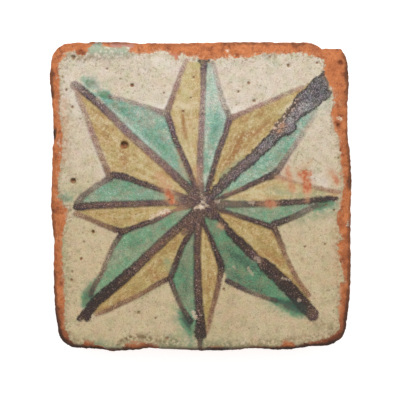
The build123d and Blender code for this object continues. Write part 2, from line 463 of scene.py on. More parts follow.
PEACH_STAINS = (
    ((158, 174, 8, 0.9), (165, 183, 11, 1.0), (170.5, 196, 13, 0.95)),
    ((286, 170, 8, 0.4), (290, 180, 11, 0.55), (292, 189, 9, 0.5)),
    ((301, 172, 12, 0.55), (306, 184, 13, 0.65), (307, 196, 6, 0.8), (306.5, 200, 5, 0.7)),
    ((330, 171, 9, 0.5), (336, 180, 11, 0.65)),
    ((276, 178, 6, 0.7), (288, 181, 6, 0.6)),
    ((335, 191, 6, 0.4), (341, 193, 6, 0.4)),
    ((64, 100, 8, 0.5), (65, 130, 8, 0.55), (63, 160, 7, 0.5)),
    ((336, 228, 8, 0.35), (337, 280, 8, 0.4)),
    ((279, 130, 6, 0.8), (283, 125, 6, 0.8)),
    ((219, 224.5, 4.5, 1.0), (222.5, 226.5, 4.5, 1.0)),
    ((304, 166, 5, 0.4), (311, 160, 5, 0.5)),
    ((262, 203, 8, 0.5), (274, 204, 10, 0.7)),
    ((177, 150, 4, 0.5), (182.5, 166, 5, 0.6), (188, 178, 5, 0.4)),
    ((197, 168, 7, 0.4), (198, 182, 7, 0.5)),
    ((226, 193, 4, 0.35), (240, 186.5, 4, 0.3)),
    ((224, 213.5, 4, 0.35), (236, 217, 4, 0.3)),
    ((187, 208, 5, 0.3), (178, 209, 6, 0.45)),
)
CREAM_CHIPS_AND_GLINT = (
    ((196.5, 206.5, 3, 0.8), (200.5, 205.5, 5, 0.95), (203.5, 206.5, 4, 0.8)),
    ((201.5, 201, 3, 0.8), (204.5, 202.5, 3, 0.7), (208.5, 206.5, 2, 0.7)),
    ((203, 195.5, 2.2, 0.5), (205, 197.5, 2, 0.5)),
    ((216.5, 200, 2.5, 0.5), (218, 200.5, 2.5, 0.5)),
    ((249, 201.5, 3, 0.35), (253, 203, 4, 0.45)),
    ((150, 217.5, 4, 0.7), (158, 213.5, 5, 0.85), (167, 210, 5, 0.85)),
    ((227.5, 49.5, 2.2, 1.0), (230.5, 56, 2.4, 1.0)),
    ((193.5, 312, 3.5, 0.7), (195.5, 317, 3.5, 0.7)),
    ((348.5, 221, 2, 0.9), (348, 224, 2.5, 0.9)),
    ((339, 117, 2.5, 0.9), (340.5, 118, 2.5, 0.9)),
    ((340, 101, 2, 0.6), (341, 103, 2, 0.6)),
    ((59, 152, 2.5, 0.7), (60, 154, 2.5, 0.7)),
    ((58, 141, 2.5, 0.6), (59, 145, 2.5, 0.6)),
    ((283, 277.5, 2, 0.5), (289, 279, 2, 0.5)),
    # A painted highlight on the lower right spine, not a chip
    ((299, 298.5, 1.6, 0.5), (300, 299.5, 1.6, 0.5)),
    ((97, 97.5, 4, 0.3), (103, 102, 4, 0.3)),
    ((232, 264.5, 2.5, 0.35), (235, 268, 2.5, 0.4)),
    ((248, 267.5, 2, 0.4), (253, 274, 2.5, 0.4)),
    ((256, 257, 3.5, 0.35), (259, 261, 3.5, 0.35)),
)

# Clay of other colours in the margin: a pink band, dark red chips and darker clay that is partly painted
# shade, and dark grime and painted shade along the rim
PINK_CLAY = (
    ((112, 44.5, 4, 0.8), (132, 44.5, 4, 0.8)),
    ((168, 54, 4, 0.5), (178, 56, 4, 0.5)),
)
# Dark red chips, and darker clay along the bottom edge and its corners: partly the clay's colour and partly
# painted shade where the clay faces away from the lamp
DARK_CLAY_AND_SHADE = (
    ((78, 51.5, 5, 0.7), (84, 52.5, 5, 0.8)),
    ((57, 186, 5, 0.6), (61, 190, 4, 0.6)),
    ((62, 334, 12, 0.8), (68, 342, 12, 0.8)),
    ((59, 322, 8, 0.6), (57, 306, 7, 0.4)),
    ((82, 344, 8, 0.6), (92, 346, 8, 0.6)),
    ((124, 347, 8, 0.5), (150, 346, 8, 0.5)),
    ((346, 236, 5, 0.2), (345, 300, 6, 0.3), (340, 334, 8, 0.6)),
    ((338, 124, 4, 0.8), (339, 126, 4, 0.8)),
    ((340, 61, 4, 0.8), (342, 62, 4, 0.8)),
    ((300, 347, 8, 0.7), (314, 345, 10, 0.9), (330, 341, 11, 1.0), (341, 333, 10, 1.0)),
    ((345, 326, 7, 0.8), (347, 300, 5, 0.5)),
    ((165, 44, 3, 0.4), (190, 44, 3, 0.4)),
)
# Dark lines along the rim: partly grime and partly painted shade
RIM_GRIME_AND_SHADE = (
    ((225, 42.5, 6, 0.4), (312, 43.5, 6, 0.4)),
    ((90, 42, 6, 0.4), (130, 42, 6, 0.4)),
    ((347, 52, 10, 0.7), (350, 92, 10, 0.7)),
    ((349, 98, 8, 0.25), (350, 150, 10, 0.6), (351, 185, 10, 0.8)),
    ((351, 200, 7, 0.4), (350, 240, 9, 0.5), (349, 300, 10, 0.7), (344, 338, 10, 0.9)),
    ((344, 340, 8, 1.0), (300, 347, 7, 1.0), (250, 349, 7, 1.0)),
    ((250, 349, 6, 0.9), (130, 349, 6, 0.9), (66, 345, 8, 1.0)),
    ((208, 349, 6, 1.6), (227, 349, 6, 1.6)),
    ((66, 345, 8, 1.0), (56, 320, 7, 0.9), (53, 270, 5, 0.6)),
    ((53, 240, 5, 0.5), (51, 200, 5, 0.3)),
    ((54, 130, 6, 1.0), (54, 136, 6, 1.0)),
    ((52, 95, 5, 0.8), (51, 70, 5, 0.6)),
)

# Pits: (x, y, width) in the photograph's pixels, and the depth as a share of the deepest
PITS = (
    (124, 144.5, 9.5, 1.0),
    (73, 180, 7, 0.6),
    (73.5, 56.5, 6, 0.35),
    (72.5, 106, 4, 0.45),
    (66.5, 89, 4, 0.4),
    (132, 84.5, 5, 0.5),
    (107, 68, 3.5, 0.4),
    (120, 78, 3, 0.3),
    (139, 74, 3.5, 0.3),
    (164, 92, 3, 0.3),
    (80, 118, 3.5, 0.3),
    (139, 121, 3, 0.3),
    (193.5, 76.5, 4, 0.45),
    (191, 97, 3, 0.4),
    (183, 110.5, 3.5, 0.5),
    (288.5, 64.5, 5, 0.35),
    (270, 56, 4, 0.4),
    (317, 62, 4, 0.4),
    (238.5, 90.5, 3, 0.55),
    (248.5, 82, 4, 0.5),
    (254, 100, 4.5, 0.4),
    (236.5, 104, 3, 0.3),
    (338, 124.5, 4, 0.8),
    (340.5, 61.5, 5, 0.55),
    (338.5, 157, 3, 0.5),
    (305, 246, 3.5, 0.4),
    (325, 243.5, 3.5, 0.35),
    (334, 209.5, 3, 0.5),
    (223.5, 288.5, 4, 0.5),
    (93, 231, 4, 0.6),
    (84, 241, 3, 0.4),
    (81, 258, 3.5, 0.7),
    (71.5, 279, 4, 0.5),
    (72.5, 271, 3.5, 0.3),
    (138.5, 312, 4.5, 0.3),
    (155.5, 317, 3.5, 0.4),
    (167, 337.5, 5, 0.4),
    (81, 50.5, 4, 0.8),
    (169.5, 199, 3, 0.5),
    (326, 204, 2.5, 0.6),
    (308, 162, 3, 0.25),
    (313, 158, 3, 0.25),
)

# Edge of the glaze, clockwise from the top left corner, in the photograph's pixels
GLAZE_EDGE = (
    (64, 55), (68, 50.5), (75, 50), (78, 54), (85, 54), (88, 47.5), (95, 42), (101, 42), (104, 45.5),
    (110, 46), (127, 46), (131, 52), (150, 52), (164, 49.5), (175, 57.5), (180, 53.5), (186, 55), (197, 57),
    (209, 58.5), (222, 57), (244, 56.3), (255, 54.5), (265, 52.3), (282, 52.8), (304, 53.3), (318, 56.6),
    (324.5, 60), (324.5, 72), (330, 85), (335, 97), (332, 108), (332, 120), (336, 130), (339, 142),
    (341, 162), (343, 170), (343, 192), (340, 203), (337.5, 216), (337, 222), (340, 232), (342, 238),
    (338, 243), (339, 255), (342, 268), (344, 280), (339, 284), (340, 298), (338.5, 310), (340, 325),
    (335, 332), (326, 337.5), (315, 341), (304, 343), (296, 345), (288.5, 340.5), (280, 345.5),
    (255, 346.5), (224, 349), (215, 346), (206, 349), (165, 349), (157, 345), (142, 341.5), (128, 343),
    (122, 349), (109, 348.5), (97, 345.5), (88, 340), (80, 344.5), (72, 341.5), (68, 334), (64.5, 326),
    (64, 315), (64, 282), (63, 266), (62, 250), (62, 240), (64, 228), (65.5, 218), (66, 208), (62, 202),
    (58.5, 196), (58, 182), (60, 172), (61, 160), (62, 147), (62, 128), (58.5, 110), (59.5, 95), (60, 80),
    (58.5, 67),
)


def on_tile(pixels):
    """Points whose first two numbers are the photograph's pixels, as X and Y on the tile."""
    pixels = np.asarray(pixels, float)
    across = (pixels[:, 0] - MIDDLE_PIXEL[0]) * PIXEL
    up = (MIDDLE_PIXEL[1] - READING_SLIP - pixels[:, 1]) * PIXEL
    return np.stack([across, up], axis=1)


def rounded(path, steps=4):
    """A path with its corners eased: a smooth curve through the points."""
    path = np.asarray(path, float)
    padded = np.vstack([2 * path[0] - path[1], path, 2 * path[-1] - path[-2]])
    share = np.linspace(0, 1, steps, endpoint=False)[:, None]
    spans = []
    for a, b, c, d in zip(padded, padded[1:], padded[2:], padded[3:]):
        curve = (2 * a - 5 * b + 4 * c - d) * share**2 + (3 * b - 3 * c + d - a) * share**3
        spans.append(0.5 * (2 * b + (c - a) * share + curve))
    return np.vstack([*spans, path[-1:]])


def along_segment(points, start, end):
    """How far along a segment, from 0 to 1, the place nearest to each point lies, and its distance."""
    run = end - start
    share = np.clip((points - start) @ run / max(run @ run, TINY), 0, 1)
    distance = np.linalg.norm(points - start - share[:, None] * run, axis=1)
    return share, distance


def stroke_reach(points, stroke):
    """For each point the distance from a stroke's course, and its half width and ink there."""
    course = rounded(stroke)
    places = on_tile(course)
    course = course[:, 2:] * (PIXEL / 2, 1)
    reach = np.tile((FAR, PIXEL, 0.0), (len(points), 1))
    near = ((points > places.min(axis=0) - NEARBY) & (points < places.max(axis=0) + NEARBY)).all(axis=1)
    close = points[near]
    best = reach[near]
    for index in range(len(places) - 1):
        share, distance = along_segment(close, places[index], places[index + 1])
        half, ink = (course[index] + share[:, None] * (course[index + 1] - course[index])).T
        nearer = distance - half < best[:, 0] - best[:, 1]
        best[nearer] = np.stack([distance, half, ink], axis=1)[nearer]
    reach[near] = best
    return reach.T


def strokes_gap(points, strokes):
    """Distance of each point from the edge of the nearest stroke, negative inside it, and the ink there."""
    reaches = np.array([stroke_reach(points, stroke) for stroke in strokes])
    gaps = reaches[:, 0] - reaches[:, 1]
    gap = gaps.min(axis=0)
    weights = np.exp((gap - gaps) / INK_BLEND)
    return gap, (weights * reaches[:, 2]).sum(axis=0) / weights.sum(axis=0)


def soft_spots(points, strokes):
    """Strokes with no edge, that fade from their course out: the densest at each point."""
    spots = np.zeros(len(points))
    for stroke in strokes:
        distance, half, ink = stroke_reach(points, stroke)
        spots = np.maximum(spots, ink * np.exp(-SPOT_FADE * (distance / half) ** 2))
    return spots


def area_gap(points, corners):
    """Distance of each point from the edge of a closed area, negative inside it."""
    inside = np.zeros(len(points), bool)
    gap = np.full(len(points), np.inf)
    for start, end in zip(corners, np.roll(corners, -1, axis=0)):
        gap = np.minimum(gap, along_segment(points, start, end)[1])
        crosses = (start[1] > points[:, 1]) != (end[1] > points[:, 1])
        rise = end[1] - start[1] or TINY
        meets = start[0] + (points[:, 1] - start[1]) / rise * (end[0] - start[0])
        inside ^= crosses & (points[:, 0] < meets)
    return np.where(inside, -gap, gap)


def half_ray(valley_line, edge, spine):
    """Corners of one painted half of a ray: out along the valley line and the edge, back along the spine."""
    return on_tile([*valley_line, *edge, *reversed(spine)])


def wander(points, size, seed, octaves=3):
    """Smooth random numbers from about -1 to 1 that change over this size."""
    shift = Vector((seed, seed, seed))
    return np.array([noise.fractal(Vector(p) / size + shift, 1.0, 2.0, octaves) for p in points])


def step(low, high, values):
    """A smooth step from 0 at the low value to 1 at the high one."""
    share = np.clip((values - low) / (high - low), 0, 1)
    return share * share * (3 - 2 * share)


def only(piece):
    """Selects one piece and nothing else."""
    bpy.ops.object.select_all(action="DESELECT")
    piece.select_set(True)
    bpy.context.view_layer.objects.active = piece


def vertex_places(piece):
    """The places of a mesh's vertices, one row each."""
    places = np.empty(len(piece.data.vertices) * 3)
    piece.data.vertices.foreach_get("co", places)
    return places.reshape(-1, 3)


def vertex_normals(piece):
    """The directions that a mesh's vertices face."""
    normals = np.empty(len(piece.data.vertices) * 3, np.float32)
    piece.data.vertex_normals.foreach_get("vector", normals)
    return normals.reshape(-1, 3)


def apply_modifier(piece, kind, **settings):
    """Adds a modifier with these settings and applies it."""
    modifier = piece.modifiers.new(kind.lower(), kind)
    for name, value in settings.items():
        setattr(modifier, name, value)
    only(piece)
    bpy.ops.object.modifier_apply(modifier=modifier.name)


def thin_out(piece, chosen, share):
    """Keeps only this share of the faces among the chosen vertices."""
    only(piece)
    bpy.ops.object.mode_set(mode="EDIT")
    bpy.ops.mesh.select_mode(type="VERT")
    bpy.ops.mesh.select_all(action="DESELECT")
    bpy.ops.object.mode_set(mode="OBJECT")
    piece.data.vertices.foreach_set("select", chosen)
    bpy.ops.object.mode_set(mode="EDIT")
    bpy.ops.mesh.decimate(ratio=share)
    bpy.ops.object.mode_set(mode="OBJECT")


def even_skin(node):
    """A copy of the solid with a skin of even squares, close together on the face and wide on the back."""
    tile = bpy.data.objects.new("painted_tile", node.data.copy())
    bpy.context.scene.collection.objects.link(tile)
    tile.data.materials.clear()
    only(tile)
    bpy.ops.object.mode_set(mode="EDIT")
    bpy.ops.mesh.select_all(action="SELECT")
    bpy.ops.mesh.remove_doubles(threshold=MERGE_DISTANCE)
    bpy.ops.object.mode_set(mode="OBJECT")
    apply_modifier(tile, "REMESH", mode="VOXEL", voxel_size=SKIN_SPACING)
    heights = vertex_places(tile)[:, 2]
    thin_out(tile, heights < BACK_ENDS, BACK_DETAIL)
    heights = vertex_places(tile)[:, 2]
    thin_out(tile, (heights > SIDES_START) & (heights < face_height - CLOSE_SKIN_DEPTH), SIDE_DETAIL)
    return tile


def displace(tile, name, weights, strength, direction, texture=None):
    """Moves the skin where the weights are above 0, evenly or by a texture about its middle grey."""
    group = tile.vertex_groups.new(name=name)
    for index in np.flatnonzero(weights > FAINTEST_WEIGHT):
        group.add([int(index)], float(weights[index]), "REPLACE")
    apply_modifier(
        tile,
        "DISPLACE",
        vertex_group=name,
        strength=strength,
        direction=direction,
        texture=texture,
        texture_coords="LOCAL",
        mid_level=0.5 if texture else 0.0,
    )
    tile.vertex_groups.clear()


def cloud_texture(name, size, depth):
    """A cloudy texture whose lumps are about this large."""
    texture = bpy.data.textures.new(name, "CLOUDS")
    texture.noise_scale = size
    texture.noise_depth = depth
    return texture


def half_rays(flat):
    """The gap to the nearest yellow half and to the nearest green half, and how deep its colour is."""
    halves = {"yellow": [], "green": []}
    for index, ray in enumerate(RAYS):
        before = half_ray(VALLEY_LINES[index - 1], ray.yellow_edge, ray.spine)
        after = half_ray(VALLEY_LINES[index], ray.green_edge, ray.spine)
        halves["yellow"].append((before, ray.yellow_depth))
        halves["green"].append((after, ray.green_depth))
    found = {}
    for colour, areas in halves.items():
        gaps = np.array([area_gap(flat, corners) for corners, _ in areas])
        depths = np.array([depth for _, depth in areas])
        found[colour] = gaps.min(axis=0), depths[gaps.argmin(axis=0)]
    return found


def rim_distance(tile):
    """How far each vertex lies, seen from above, from the tile's rim."""
    places = vertex_places(tile)
    steep = vertex_normals(tile)[:, 2] < RIM_STEEPNESS
    upright = steep & (places[:, 2] > face_height - RIM_DEPTH)
    rim = kdtree.KDTree(int(upright.sum()))
    for index, (x, y, _) in enumerate(places[upright]):
        rim.insert((x, y, 0), index)
    rim.balance()
    return np.array([rim.find((x, y, 0))[2] for x, y, _ in places])


def paint_fields(tile):
    """What lies where on the tile, one number for each vertex. Gaps are in millimetres, negative inside."""
    places = vertex_places(tile)
    flat = places[:, :2]
    lumps = wander(places, LUMP_SIZE, LUMP_START)
    grain = wander(places, GRAIN_SIZE, GRAIN_START)
    fields = {}

    crust = [RAYS[1].spine, *CRUST_LUMPS]
    spines = [ray.spine for ray in RAYS]
    edges = [edge for ray in RAYS for edge in (ray.yellow_edge, ray.green_edge)]
    lines = [*spines, *edges, *VALLEY_LINES, *MIDDLE_BLOTS, *TIP_BLOTS, *CRUST_LUMPS]
    line_gap, fields["line_ink"] = strokes_gap(flat, lines)
    crust_gap = strokes_gap(flat, crust)[0]
    rough_edge = 0.25 + 0.5 * (crust_gap < 2 * MM) + 0.15 * step(0.85, 1.0, fields["line_ink"])
    fields["line"] = line_gap / MM + rough_edge * grain + 0.15 * lumps
    fields["crust"] = crust_gap / MM + 0.85 * grain + 0.15 * lumps

    found = half_rays(flat)
    yellow_gap, fields["yellow_depth"] = found["yellow"]
    green_gap, fields["green_depth"] = found["green"]
    fields["yellow"] = yellow_gap / MM + 0.4 * lumps
    fields["green"] = green_gap / MM + 0.5 * lumps
    spots_on_face = {
        "beads": BEADS,
        "bleed": GREEN_BLEEDS,
        "wash": GREEN_WASHES,
        "veil": WHITE_VEILS,
        "peach": PEACH_STAINS,
        "pool": GREEN_POOLS,
        "stain": BROWN_STAINS,
        "soot": SOOT,
    }
    for name, strokes in spots_on_face.items():
        fields[name] = soft_spots(flat, strokes)

    flake_gap, fields["flake_ink"] = strokes_gap(flat, CLAY_FLAKES)
    chip_gap, fields["chip_ink"] = strokes_gap(flat, CREAM_CHIPS_AND_GLINT)
    fields["flake"] = flake_gap / MM + 0.9 * grain + 0.4 * lumps
    fields["chip_and_glint"] = chip_gap / MM + 0.9 * grain + 0.4 * lumps
    glaze_gap = area_gap(flat, rounded_ring(on_tile(GLAZE_EDGE)))
    below = (face_height - places[:, 2]) / MM - GLAZE_ENDS
    fields["bare"] = np.maximum(glaze_gap / MM + 0.45 * lumps + 0.7 * grain, 2.0 * below)
    near_face = 1 - step(STAINS_FADE, STAINS_END, below)
    for name, strokes in {"pink": PINK_CLAY, "dark_clay_and_shade": DARK_CLAY_AND_SHADE, "grime_and_shade": RIM_GRIME_AND_SHADE}.items():
        fields[name] = near_face * soft_spots(flat, strokes)
    fields["rim"] = rim_distance(tile) / MM + np.maximum(below - GRIME_AND_SHADE_THINS, 0)

    fields["pit"] = np.zeros(len(flat))
    # For the painted shade in the pits: how far towards the top of the tile each point lies within its pit
    fields["pit_side_for_shade"] = np.zeros(len(flat))
    for x, y, width, depth in PITS:
        away = (flat - on_tile([(x, y)])) / (width * PIXEL / 2)
        reach = np.linalg.norm(away, axis=1)
        sunk = depth * (1 - step(0.35, 1.1, reach + 0.25 * grain))
        fields["pit_side_for_shade"] = np.where(sunk > fields["pit"], away[:, 1], fields["pit_side_for_shade"])
        fields["pit"] = np.maximum(fields["pit"], sunk)
    return fields


def rounded_ring(corners, steps=3):
    """A closed outline with its corners eased."""
    ring = np.vstack([corners[-1:], corners, corners[:2]])
    return rounded(ring, steps)[steps:-steps - 1]


def shape_relief(tile, fields):
    """Raises the brush lines, lowers the bare clay, sinks the pits and roughens the clay."""
    across, up, heights = vertex_places(tile).T
    top_side = step(face_height - 3.5 * MM, face_height - 2.5 * MM, heights)
    back = 1 - step(0.1 * MM, 0.4 * MM, heights)
    bare = step(-0.35, 0.35, fields["bare"])
    flaked = (1 - step(-0.5, 0.4, fields["flake"])) * fields["flake_ink"]
    lined = (1 - step(-0.5, 0.4, fields["line"])) * fields["line_ink"]
    crusted = (1 - step(-1.0, 0.4, fields["crust"])) * step(CRUST_STARTS, CRUST_IS_FULL, across + up)
    glazed = top_side * (1 - bare)
    upright = step(0.15, 0.6, 1 - np.abs(vertex_normals(tile)[:, 2]))
    lumps = cloud_texture("clay lumps", 2.2 * MM, 3)
    waves = cloud_texture("face waves", 16 * MM, 1)
    crumbs = cloud_texture("paint crumbs", 0.9 * MM, 2)
    displace(tile, "full sides", upright, SIDE_FILL, "NORMAL")
    displace(tile, "worn glaze", top_side * np.maximum(bare, 0.7 * flaked), -GLAZE_THICKNESS, "Z")
    displace(tile, "pits", fields["pit"] * top_side, -DEEPEST_PIT, "Z")
    displace(tile, "brush lines", glazed * lined * (1 - flaked), BRUSH_HEIGHT, "Z")
    displace(tile, "crusty brush line", glazed * crusted, CRUST_HEIGHT, "Z", crumbs)
    displace(tile, "waves of the face", top_side, FACE_WAVES, "Z", waves)
    clay = np.maximum(bare, 1 - top_side) * (1 - back)
    displace(tile, "rough clay", clay, CLAY_ROUGHNESS, "NORMAL", lumps)


def store_fields(tile, fields):
    """Keeps the paint fields on the mesh, for the material to read."""
    for name, values in fields.items():
        layer = tile.data.attributes.new(name, "FLOAT", "POINT")
        layer.data.foreach_set("value", np.clip(values, -FIELD_LIMIT, FIELD_LIMIT).astype(np.float32))


class Field:
    """A value that changes over a surface: an output socket, with arithmetic that adds Math nodes."""

    def __init__(self, shader, socket):
        self.shader = shader
        self.socket = socket

    def maths(self, operation, *values):
        return self.shader.node("ShaderNodeMath", {"operation": operation}, dict(enumerate(values)))

    def __add__(self, other):
        return self.maths("ADD", self, other)

    def __radd__(self, other):
        return self.maths("ADD", other, self)

    def __sub__(self, other):
        return self.maths("SUBTRACT", self, other)

    def __rsub__(self, other):
        return self.maths("SUBTRACT", other, self)

    def __mul__(self, other):
        return self.maths("MULTIPLY", self, other)

    def __rmul__(self, other):
        return self.maths("MULTIPLY", other, self)


class Shader:
    """A material's node tree, or the world's, with one method that adds any node."""

    def __init__(self, owner):
        owner.use_nodes = True
        self.tree = owner.node_tree
        self.tree.nodes.clear()

    def node(self, kind, settings=None, sockets=None, output=0):
        """Adds a node: its settings first, then the values or links of its sockets. Gives one output."""
        made = self.tree.nodes.new(kind)
        for name, value in (settings or {}).items():
            setattr(made, name, value)
        for name, value in (sockets or {}).items():
            if isinstance(value, Field):
                self.tree.links.new(value.socket, made.inputs[name])
            else:
                made.inputs[name].default_value = value
        return Field(self, made.outputs[output] if made.outputs else None)

    def stored(self, name):
        """A number that the mesh holds for each vertex."""
        return self.node("ShaderNodeAttribute", {"attribute_name": name}, output="Fac")

    def place(self):
        """Where a point lies on the piece, in metres."""
        return self.node("ShaderNodeTexCoord", output="Object")

    def cloud(self, size, detail=3.0, roughness=0.55, place=None, output="Fac"):
        """Cloudy noise from 0 to 1 whose lumps are about this large, or coloured noise."""
        sockets = {
            "Vector": place or self.place(),
            "Scale": 1 / size,
            "Detail": detail,
            "Roughness": roughness,
        }
        return self.node("ShaderNodeTexNoise", sockets=sockets, output=output)

    def ramp(self, value, low, high):
        """A smooth step from 0 at the low value to 1 at the high one."""
        settings = {"interpolation_type": "SMOOTHSTEP"}
        return self.node("ShaderNodeMapRange", settings, {"Value": value, "From Min": low, "From Max": high})

    def mix(self, share, first, second, blend="MIX"):
        """A colour between two others, or one that the other is laid over in another way."""
        settings = {"data_type": "RGBA", "blend_type": blend}
        return self.node("ShaderNodeMix", settings, {0: share, 6: first, 7: second}, output=2)

    def layered(self, colour, *layers):
        """A colour with others laid over it in turn, each a share and a colour."""
        for share, other in layers:
            colour = self.mix(share, colour, other)
        return colour

    def tinted(self, depth, *stops):
        """A colour that deepens through some stops, each a depth and the colour there."""
        colour = stops[0][1]
        for (low, _), (high, deeper) in zip(stops, stops[1:]):
            colour = self.mix(self.ramp(depth, low, high), colour, deeper)
        return colour

    def streaks(self, middle, across, along):
        """Streaky noise that runs out from a middle: how wide a streak is, as an angle, and how long."""
        place = self.node("ShaderNodeVectorMath", {"operation": "SUBTRACT"}, {0: self.place(), 1: middle})
        x = self.node("ShaderNodeSeparateXYZ", sockets={0: place}, output=0)
        y = self.node("ShaderNodeSeparateXYZ", sockets={0: place}, output=1)
        angle = x.maths("ARCTAN2", y, x) * (1 / across)
        away = self.node("ShaderNodeVectorMath", {"operation": "LENGTH"}, {0: place}, output="Value")
        stretched = self.node("ShaderNodeCombineXYZ", sockets={0: angle, 1: away * (1 / along)})
        return self.cloud(1.0, 3.0, 0.6, stretched)

    def specks(self, spacing, radius, share, softness=0.06):
        """Round specks, 1 inside: how far apart they can be, their radius, and how many places have one."""
        sockets = {"Vector": self.place(), "Scale": 1 / spacing}
        away = self.node("ShaderNodeTexVoronoi", sockets=sockets, output="Distance")
        chance = self.node("ShaderNodeTexVoronoi", sockets=sockets, output="Color")
        pick = self.node("ShaderNodeSeparateColor", sockets={0: chance}, output=0)
        size = self.node("ShaderNodeSeparateColor", sockets={0: chance}, output=1)
        reach = (0.35 + 0.65 * size) * (radius / spacing)
        chosen = self.ramp(pick, share + 0.01, share - 0.01)
        return self.ramp(away - reach, softness, -softness) * chosen


def srgb(red, green, blue):
    """A colour given as it looks on screen, from 0 to 255."""
    shares = [part / 255 for part in (red, green, blue)]
    return *(s / 12.92 if s <= 0.04045 else ((s + 0.055) / 1.055) ** 2.4 for s in shares), 1.0


def glazed_earthenware():
    """Tin glaze painted in green, yellow and manganese over orange clay that shows where it wore off."""
    material = bpy.data.materials.new("glazed_earthenware")
    shader = Shader(material)
    mix = shader.mix
    layered = shader.layered
    ramp = shader.ramp
    stored = shader.stored
    across_face = shader.node("ShaderNodeSeparateXYZ", sockets={0: shader.place()}, output=0)
    up_face = shader.node("ShaderNodeSeparateXYZ", sockets={0: shader.place()}, output=1)
    height = ramp(up_face, -34 * MM, 60 * MM)

    # Two colours mixed by height on the face, the upper one paler: partly a change of hue and partly painted
    # light from the lamp past the top
    def tone_and_light_by_height(low, high):
        return mix(height, srgb(*low), srgb(*high))

    moved = {0: shader.place(), 1: (0.3, 0.2, 0.1)}
    elsewhere = shader.node("ShaderNodeVectorMath", {"operation": "ADD"}, moved)
    sand = shader.cloud(0.44 * MM, 1.0, 0.6)
    grit = ramp(shader.cloud(0.46 * MM, 0.0, 0.5, elsewhere), 0.3, 0.7)
    dust = shader.cloud(0.55 * MM, 2.0, 0.7)
    hue = shader.cloud(1.5 * MM, 2.0, 0.5, elsewhere)
    grain = shader.cloud(1.3 * MM, 2.0, 0.6)
    mottle = shader.cloud(3.6 * MM, 3.0, 0.55)
    tint = shader.cloud(8 * MM, 3.0, 0.55)
    patches = shader.cloud(20 * MM, 2.0, 0.5)
    tinge = shader.cloud(3.4 * MM, 1.0, 0.5, output="Color")
    streaks = shader.streaks((*on_tile([STAR_MIDDLE])[0], 0), 0.06, 12 * MM)
    fine_specks = shader.specks(1.3 * MM, 0.26 * MM, 0.16, 0.1)
    specks = shader.specks(2.7 * MM, 0.42 * MM, 0.3, 0.08)
    freckles = shader.specks(4.6 * MM, 0.75 * MM, 0.5, 0.1)
    edge_specks = shader.specks(1.7 * MM, 0.5 * MM, 0.5, 0.1)
    bead_specks = shader.specks(1.35 * MM, 0.78 * MM, 0.92, 0.16)
    flecks = shader.specks(1.05 * MM, 0.42 * MM, 0.55, 0.14)
    dark_flecks = shader.specks(1.25 * MM, 0.48 * MM, 0.55, 0.14)
    worn = stored("bare") + (dust - 0.5) * 1.0 + (grain - 0.5) * 2.0 + (sand - 0.5) * 0.6

    # Cream ground, paler towards the top of the face, partly as painted light from the lamp past the top and
    # partly as a paler hue, tinted green or pink in places, dirty towards its edge
    ground = layered(
        tone_and_light_by_height((210, 190, 152), (219, 206, 187)),
        (ramp(patches, 0.48, 0.7) * 0.4, tone_and_light_by_height((188, 162, 120), (204, 184, 152))),
        (ramp(tint, 0.52, 0.7) * 0.45, tone_and_light_by_height((188, 180, 138), (204, 199, 174))),
        (ramp(tint, 0.48, 0.3) * 0.5, tone_and_light_by_height((206, 180, 146), (225, 207, 190))),
        (ramp(mottle, 0.5, 0.7) * 0.4, tone_and_light_by_height((176, 153, 114), (192, 174, 144))),
        (ramp(mottle, 0.48, 0.3) * 0.45, tone_and_light_by_height((207, 189, 156), (227, 214, 196))),
        (ramp(grain, 0.54, 0.74) * 0.4, tone_and_light_by_height((160, 136, 98), (172, 152, 122))),
        (ramp(hue, 0.52, 0.72) * 0.22, tone_and_light_by_height((186, 180, 134), (200, 198, 172))),
        (ramp(hue, 0.48, 0.28) * 0.22, tone_and_light_by_height((208, 174, 138), (225, 200, 178))),
        (ramp(sand, 0.5, 0.72) * 0.4, tone_and_light_by_height((216, 199, 166), (231, 220, 204))),
        (ramp(sand, 0.5, 0.28) * 0.42, tone_and_light_by_height((160, 136, 100), (172, 152, 124))),
        (ramp(dust, 0.52, 0.3) * 0.3, tone_and_light_by_height((154, 130, 94), (168, 148, 120))),
        (stored("veil"), srgb(229, 219, 208)),
        (freckles * ramp(grain, 0.3, 0.6) * 0.5, srgb(146, 118, 82)),
        (fine_specks * (0.7 - 0.3 * height), srgb(126, 102, 74)),
    )
    dirty = ramp(stored("bare") + (tint - 0.5) * 8.0, -5.5, -0.3)
    ground = layered(
        ground,
        (dirty * ramp(mottle, 0.42, 0.6) * 0.4, tone_and_light_by_height((168, 156, 116), (182, 174, 144))),
        (dirty * ramp(grain, 0.56, 0.66) * 0.6, srgb(146, 116, 82)),
        (dirty * edge_specks * 0.6, srgb(104, 90, 64)),
    )

    # Yellow, in streaks that run out along the rays
    depth = stored("yellow_depth") + (streaks - 0.5) * 1.8 + (mottle - 0.5) * 1.6
    depth = depth + (grain - 0.5) * 1.4 + (dust - 0.5) * 1.0 + (sand - 0.5) * 2.2
    ochre = shader.tinted(
        depth, (-0.1, srgb(206, 188, 146)), (0.5, srgb(186, 157, 99)), (1.1, srgb(152, 118, 58))
    )
    ochre = layered(
        ochre,
        (stored("veil") * 0.8, srgb(222, 208, 176)),
        (ramp(tint, 0.52, 0.68) * 0.35, srgb(176, 162, 100)),
        (stored("stain") * ramp(grain + streaks, 0.75, 1.1), srgb(154, 102, 48)),
        (fine_specks * 0.6, srgb(116, 90, 52)),
        (freckles * ramp(grain, 0.35, 0.6) * 0.6, srgb(142, 102, 54)),
    )
    yellow_share = ramp(stored("yellow") + (grain - 0.5) * 1.2, 0.35, -0.5)
    paint = mix(yellow_share * 0.93, ground, ochre)

